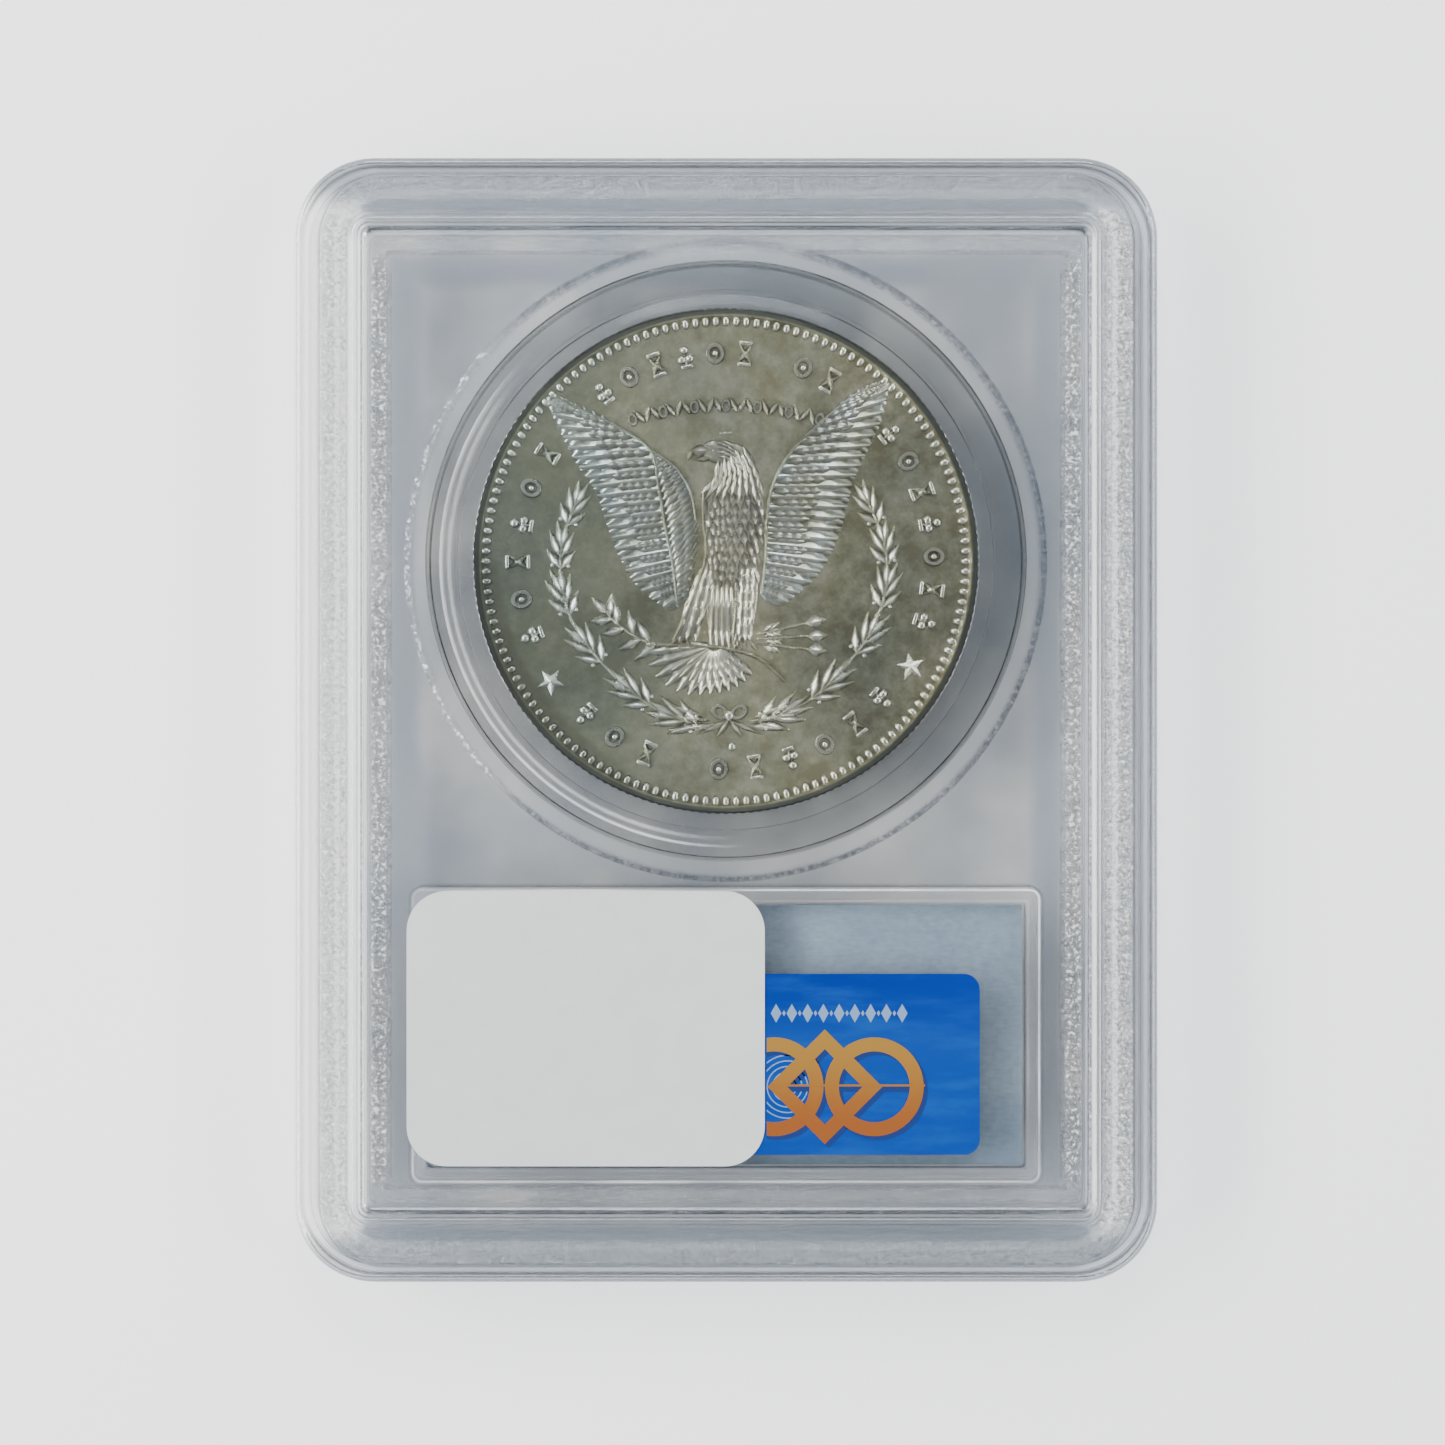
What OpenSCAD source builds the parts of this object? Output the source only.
// Graded coin slab: a large silver coin sealed between two clear moulded shells.
// The slab lies flat on its front, with its back face up (+Z).
// Origin: middle of the bottom face. +Y points to the coin end, -Y to the label end.
// Millimetres.

/* [Slab] */
// Overall width
slab_w = 64.5; // [63:0.5:90]
// Overall length
slab_h = 84; // [83.5:0.5:110]
// Radius of the outer corners
corner_r = 6; // [5:0.25:7]
// Rounding of the long outer edges
edge_round = 0.5; // [0.2:0.1:0.8]
// Thickness of the outer side wall
side_wall = 1.5; // [1.2:0.1:2]
// Thickness of each clear window
window_t = 1.1; // [0.8:0.1:1.6]
// Thickness of the plastic over and under the hollow edge
frame_t = 1.2; // [0.8:0.1:1.3]

/* [Back rim] */
// Height of the raised rim over the low shoulder
shoulder_drop = 0.7; // [0.4:0.1:0.9]
// Width of the low shoulder on the long sides
shoulder_w = 1.9; // [1.6:0.1:2.5]
// Width of the low shoulder at the two ends
shoulder_end_w = 1.25; // [1:0.05:2]
// Corner radius of the raised rim
rim_corner_r = 5; // [4:0.25:6]
// Width of the frosted land on the long sides
land_w = 2.2; // [1.8:0.1:3]
// Width of the frosted land at the two ends
land_end_w = 3; // [2.4:0.1:4]
// Width of the round bead inside the land
bead_w = 0.9; // [0.7:0.05:1.2]
// Depth of the land's inner step
bead_drop = 0.3; // [0.2:0.05:0.4]
// Corner radius of the bead
bead_corner_r = 1.6; // [1.4:0.1:2.5]
// Depth of the back window below the rim
back_recess = 1.6; // [1.3:0.1:2]
// Slope of the recess wall, measured along the window
recess_draft = 0.35; // [0.2:0.05:0.45]

/* [Front] */
// Depth of the nest that takes the rim of the slab below
nest_depth = 0.8; // [0.7:0.1:1]
// Gap all round between a nested rim and its nest
nest_clearance = 0.15; // [0.05:0.05:0.3]
// Depth of the front window below the lip
front_recess = 1.4; // [1.2:0.1:1.8]

/* [Weld] */
// Width of the inner weld wall
weld_wall = 0.9; // [0.7:0.1:1.2]
// Gap between the recess wall's foot and the weld wall
weld_wall_inset = 0.3; // [0.2:0.05:0.6]
// Width of the tongue on the back shell
tongue_w = 0.5; // [0.3:0.1:0.7]
// Height of the tongue
tongue_h = 0.5; // [0.3:0.1:0.8]
// Gap round the tongue in its groove
tongue_clearance = 0.05; // [0.03:0.01:0.1]
// Thickness of the weld's film between the two side walls
weld_film = 0.04; // [0.02:0.01:0.1]
// How far the inner walls stop short of each other and of the back window
inner_gap = 0.1; // [0.05:0.01:0.2]

/* [Coin] */
// Diameter of the coin
coin_d = 38.1; // [24:0.1:38.5]
// Thickness of the coin at its rim
coin_t = 2.4; // [1.5:0.05:3]
// Width of the raised rim of the coin
coin_rim_w = 0.6; // [0.45:0.05:1.6]
// Depth of the coin's fields below its rim
coin_field_drop = 0.3; // [0.15:0.05:0.4]
// Number of reeds on the coin's edge
reed_count = 188; // [80:4:200]
// Depth of the reeds
reed_depth = 0.1; // [0.05:0.01:0.15]
// Gap between the coin's rim and each window
coin_gap = 0.2; // [0.1:0.05:0.3]

/* [Gasket] */
// Gap between the coin's edge and the gasket
coin_clearance = 0.05; // [0.02:0.01:0.1]
// Width of the gasket's thin inner flange
flange_w = 1.3; // [0.8:0.1:2]
// Thickness of the gasket's inner flange
flange_t = 1.5; // [1:0.1:2.2]
// Width of the gasket's thick outer ring
gasket_ring_w = 2.1; // [1.5:0.1:3]
// Gap round the gasket in its well, and over and under it
gasket_clearance = 0.1; // [0.05:0.05:0.2]
// Thickness of the well's wall
well_wall = 1.5; // [1.2:0.1:2]
// Distance from the well to the end of the window
well_end_gap = 0.45; // [0.3:0.05:2]

/* [Label] */
// Width of the printed label
label_w = 44.6; // [30:0.2:46]
// Height of the printed label
label_h = 19.5; // [14:0.1:20]
// Thickness of the label card
label_t = 0.35; // [0.2:0.05:0.5]
// Gap round the label, and over it
label_clearance = 0.2; // [0.1:0.05:0.3]
// Thickness of the pocket wall round the label
pocket_wall = 1.2; // [0.8:0.1:1.5]
// Distance from the pocket to the end of the window
pocket_end_gap = 1.65; // [0.5:0.05:4]
// Height of the platform that carries the label
platform_h = 1.5; // [0.5:0.1:1.6]

/* [Stickers] */
// Width of the hologram sticker
hologram_w = 38; // [26:0.5:42]
// Height of the hologram sticker
hologram_h = 13.55; // [10:0.05:16]
// Corner radius of the hologram sticker
hologram_r = 1.2; // [0.5:0.1:3]
// Height of its lower edge over the label's lower edge
hologram_rise = 0.9; // [0.2:0.1:1.5]
// Thickness of the hologram film
hologram_t = 0.08; // [0.05:0.01:0.12]
// Width of the blank certificate sticker
certificate_w = 26.8; // [20:0.1:32]
// Height of the blank certificate sticker
certificate_h = 20.6; // [14:0.1:22]
// Corner radius of the certificate sticker
certificate_r = 3; // [1:0.1:4]
// How far it overlaps the pocket's side
certificate_overhang = 0.2; // [0:0.1:0.6]
// Distance from its upper edge to the pocket's upper edge
certificate_drop = 0.25; // [0:0.05:1]
// Thickness of the certificate sticker
certificate_t = 0.16; // [0.14:0.01:0.25]

/* [Hidden] */
$fn = 96;

// How far one shape runs into the shape that it is joined to or cut from
bite = 0.3;

// Heights, from the table up
cavity_h = coin_t + 2 * coin_gap;
front_glass_z = front_recess;
cavity_z = front_glass_z + window_t;
cavity_top_z = cavity_z + cavity_h;
back_glass_z = cavity_top_z + window_t;
rim_z = back_glass_z + back_recess;
shoulder_z = rim_z - shoulder_drop;
bead_z = rim_z - bead_drop;
seam_z = cavity_z + cavity_h / 2;

// Outlines, as [width, length]
slab = [slab_w, slab_h];
rim = slab - 2 * [shoulder_w, shoulder_end_w];
bead_outer = rim - 2 * [land_w, land_end_w];
bead_path = bead_outer - [bead_w, bead_w];
recess = bead_outer - 2 * [bead_w, bead_w];
window = recess - 2 * [recess_draft, recess_draft];
weld_outer = window - 2 * [weld_wall_inset, weld_wall_inset];
weld_inner = weld_outer - 2 * [weld_wall, weld_wall];
hollow = slab - 2 * [side_wall, side_wall];
under_recess = recess + 2 * [frame_t, frame_t];
nest = rim + 2 * [nest_clearance, nest_clearance];

// Rounding of the raised rim's outer edge, kept under its height
rim_round = min(0.35, shoulder_drop - 0.05);

// Corner radii that follow from them
recess_r = bead_corner_r - bead_w;
weld_outer_r = 0.6;
weld_inner_r = 0.3;
hollow_r = corner_r - side_wall;
under_recess_r = recess_r + frame_t;
nest_r = rim_corner_r + nest_clearance;

// The coin's well and the gasket
coin_r = coin_d / 2;
flange_inner_r = coin_r + coin_clearance;
gasket_inner_r = flange_inner_r + flange_w;
gasket_outer_r = gasket_inner_r + gasket_ring_w;
well_r = gasket_outer_r + gasket_clearance;
well_outer_r = well_r + well_wall;
coin_y = window.y / 2 - well_end_gap - well_outer_r;
coin_z = cavity_z + coin_gap;

// The label's pocket
pocket = [label_w, label_h] + 2 * [label_clearance, label_clearance];
pocket_outer = pocket + 2 * [pocket_wall, pocket_wall];
pocket_y = -window.y / 2 + pocket_end_gap + pocket_outer.y / 2;
pocket_r = 0.4;
pocket_outer_r = 0.7;
label_z = cavity_z + platform_h;
back_platform_z = label_z + label_t + label_clearance;
// The back platform slides into the pocket with this much room at each side
platform_clearance = 0.1;

// The stickers
hologram_y = pocket_y - label_h / 2 + hologram_rise + hologram_h / 2;
certificate_x = -pocket_outer.x / 2 - certificate_overhang + certificate_w / 2;
certificate_y = pocket_y + pocket_outer.y / 2 - certificate_drop - certificate_h / 2;

// A flat rectangle with round corners, about the origin
module rounded_rect(size, r) {
    square([size.x - 2 * r, size.y], center = true);
    square([size.x, size.y - 2 * r], center = true);
    for (sx = [-1, 1], sy = [-1, 1])
        translate([sx * (size.x / 2 - r), sy * (size.y / 2 - r)])
            circle(r);
}

// A block with round corners between two heights
module block(size, r, z0, z1) {
    translate([0, 0, z0])
        linear_extrude(height = z1 - z0)
            rounded_rect(size, r);
}

// A standing wall between two round-cornered outlines
module frame_wall(outer, outer_r, inner, inner_r, z0, z1) {
    translate([0, 0, z0])
        linear_extrude(height = z1 - z0)
            difference() {
                rounded_rect(outer, outer_r);
                rounded_rect(inner, inner_r);
            }
}

// The child profile carried round a round-cornered outline.
// The profile's x points outwards from the outline and its y is the height.
module sweep_round(size, r) {
    side = size.y - 2 * r;
    end = size.x - 2 * r;
    for (turn = [0, 180])
        rotate([0, 0, turn]) {
            translate([size.x / 2, side / 2, 0])
                rotate([90, 0, 0])
                    linear_extrude(height = side)
                        children();
            rotate([0, 0, 90])
                translate([size.y / 2, end / 2, 0])
                    rotate([90, 0, 0])
                        linear_extrude(height = end)
                            children();
            translate([size.x / 2 - r, size.y / 2 - r, 0])
                rotate_extrude(angle = 90)
                    translate([r, 0])
                        children();
            translate([-size.x / 2 + r, size.y / 2 - r, 0])
                rotate([0, 0, 90])
                    rotate_extrude(angle = 90)
                        translate([r, 0])
                            children();
        }
}

// What a rounded edge takes away: up is 1 for a top edge and -1 for a bottom edge
module edge_cutter(size, r, z, fillet, up) {
    sweep_round(size, r)
        difference() {
            translate([-fillet, up > 0 ? z - fillet : z - bite])
                square([fillet + bite, fillet + bite]);
            translate([-fillet, z - up * fillet])
                circle(fillet);
        }
}

// The well's wall round the gasket
module well(z0, z1) {
    translate([0, coin_y, z0])
        rotate_extrude()
            translate([well_r, 0])
                square([well_wall, z1 - z0]);
}

// Clear shell with the raised rim, which faces up
module back_shell() {
    color("lightsteelblue", 0.5) {
        difference() {
            union() {
                block(slab, corner_r, seam_z, shoulder_z);
                block(rim, rim_corner_r, shoulder_z - bite, rim_z);
            }
            edge_cutter(slab, corner_r, shoulder_z, edge_round, 1);
            edge_cutter(rim, rim_corner_r, rim_z, rim_round, 1);
            block(bead_outer, bead_corner_r, bead_z, rim_z + bite);
            block(recess, recess_r, back_glass_z, rim_z + bite);
            block(hollow, hollow_r, seam_z - bite, cavity_top_z);
            frame_wall(hollow, hollow_r, under_recess, under_recess_r,
                       cavity_top_z - bite, rim_z - frame_t);
        }
        bead();
        recess_slope();
        frame_wall(weld_outer, weld_outer_r, weld_inner, weld_inner_r,
                   seam_z, cavity_top_z + bite);
        well(seam_z, cavity_top_z + bite);
        translate([0, pocket_y, 0])
            block(pocket - 2 * [platform_clearance, platform_clearance], pocket_r,
                  back_platform_z, cavity_top_z + bite);
        tongue();
    }
}

// Round bead that runs along the inside of the frosted land
module bead() {
    intersection() {
        sweep_round(bead_path, bead_corner_r - bead_w / 2)
            translate([0, bead_z])
                circle(bead_drop);
        block(bead_outer, bead_corner_r, bead_z - bite, rim_z + bite);
    }
}

// Sloping foot of the recess wall
module recess_slope() {
    sweep_round(recess, recess_r)
        polygon([[-recess_draft, back_glass_z - bite],
                 [-recess_draft, back_glass_z],
                 [0, bead_z - bite],
                 [bite, bead_z - bite],
                 [bite, back_glass_z - bite]]);
}

// Tongue under the back shell's side wall
module tongue() {
    middle = slab - [side_wall, side_wall];
    middle_r = corner_r - side_wall / 2;
    frame_wall(middle + [tongue_w, tongue_w], middle_r + tongue_w / 2,
               middle - [tongue_w, tongue_w], middle_r - tongue_w / 2,
               seam_z - tongue_h, seam_z + bite);
}

// Groove in the front shell that takes the tongue
module groove() {
    middle = slab - [side_wall, side_wall];
    middle_r = corner_r - side_wall / 2;
    slot_w = tongue_w + 2 * tongue_clearance;
    frame_wall(middle + [slot_w, slot_w], middle_r + slot_w / 2,
               middle - [slot_w, slot_w], middle_r - slot_w / 2,
               seam_z - tongue_h - tongue_clearance, seam_z + bite);
}

// Clear shell with the nesting lip, which faces down
module front_shell() {
    color("lightsteelblue", 0.5) {
        difference() {
            block(slab, corner_r, 0, seam_z - weld_film);
            edge_cutter(slab, corner_r, 0, edge_round, -1);
            block(nest, nest_r, -bite, nest_depth);
            block(window, recess_r, -bite, front_glass_z);
            block(hollow, hollow_r, cavity_z, seam_z + bite);
            frame_wall(hollow, hollow_r, under_recess, under_recess_r,
                       nest_depth + frame_t, cavity_z + bite);
            groove();
        }
        frame_wall(weld_outer, weld_outer_r, weld_inner, weld_inner_r,
                   cavity_z - bite, seam_z - inner_gap);
        well(cavity_z - bite, seam_z - inner_gap);
        translate([0, pocket_y, 0]) {
            block(pocket, pocket_r, cavity_z - bite, label_z);
            frame_wall(pocket_outer, pocket_outer_r, pocket, pocket_r,
                       cavity_z - bite, cavity_top_z - inner_gap);
        }
    }
}

// Clear ring that grips the coin's edge
module coin_gasket() {
    ring_h = cavity_h - 2 * gasket_clearance;
    middle_z = cavity_z + cavity_h / 2;
    lead_in = 0.2;
    color("gainsboro", 0.6)
        translate([0, coin_y, middle_z])
            rotate_extrude()
                polygon([[flange_inner_r, -flange_t / 2],
                         [gasket_inner_r, -flange_t / 2 - lead_in],
                         [gasket_inner_r, -ring_h / 2],
                         [gasket_outer_r - lead_in, -ring_h / 2],
                         [gasket_outer_r, -ring_h / 2 + lead_in],
                         [gasket_outer_r, ring_h / 2 - lead_in],
                         [gasket_outer_r - lead_in, ring_h / 2],
                         [gasket_inner_r, ring_h / 2],
                         [gasket_inner_r, flange_t / 2 + lead_in],
                         [flange_inner_r, flange_t / 2]]);
}

// Struck blank with a reeded edge, raised rims and sunk fields
module coin() {
    rim_bevel = 0.2;
    rim_slope = 0.25;
    rim_inner_r = coin_r - coin_rim_w;
    half_t = coin_t / 2;
    field_t = half_t - coin_field_drop;
    color("silver")
        translate([0, coin_y, coin_z + half_t])
            intersection() {
                translate([0, 0, -half_t])
                    linear_extrude(height = coin_t)
                        reeded_outline();
                rotate_extrude()
                    polygon([[0, -field_t],
                             [rim_inner_r - rim_slope, -field_t],
                             [rim_inner_r, -half_t],
                             [coin_r - rim_bevel, -half_t],
                             [coin_r + bite, -half_t + rim_bevel + bite],
                             [coin_r + bite, half_t - rim_bevel - bite],
                             [coin_r - rim_bevel, half_t],
                             [rim_inner_r, half_t],
                             [rim_inner_r - rim_slope, field_t],
                             [0, field_t]]);
            }
}

// The coin's outline: one ridge and one valley for each reed
module reeded_outline() {
    step = 360 / reed_count;
    polygon([for (i = [0:reed_count - 1], half = [0, 1])
        let (r = coin_r - half * reed_depth, a = step * (i + half / 2))
            r * [cos(a), sin(a)]]);
}

// Printed card in its pocket
module label_insert() {
    color("slategray")
        translate([0, pocket_y, label_z])
            linear_extrude(height = label_t)
                square([label_w, label_h], center = true);
}

// Blue foil film on the back window
module hologram_sticker() {
    color("royalblue")
        translate([0, hologram_y, 0])
            block([hologram_w, hologram_h], hologram_r,
                  back_glass_z, back_glass_z + hologram_t);
}

// Blank pale paper sticker, which laps over the end of the foil one
module certificate_sticker() {
    color("lightgray")
        difference() {
            translate([certificate_x, certificate_y, 0])
                block([certificate_w, certificate_h], certificate_r,
                      back_glass_z, back_glass_z + certificate_t);
            hologram_sticker();
        }
}

front_shell();
back_shell();
coin_gasket();
coin();
label_insert();
hologram_sticker();
certificate_sticker();
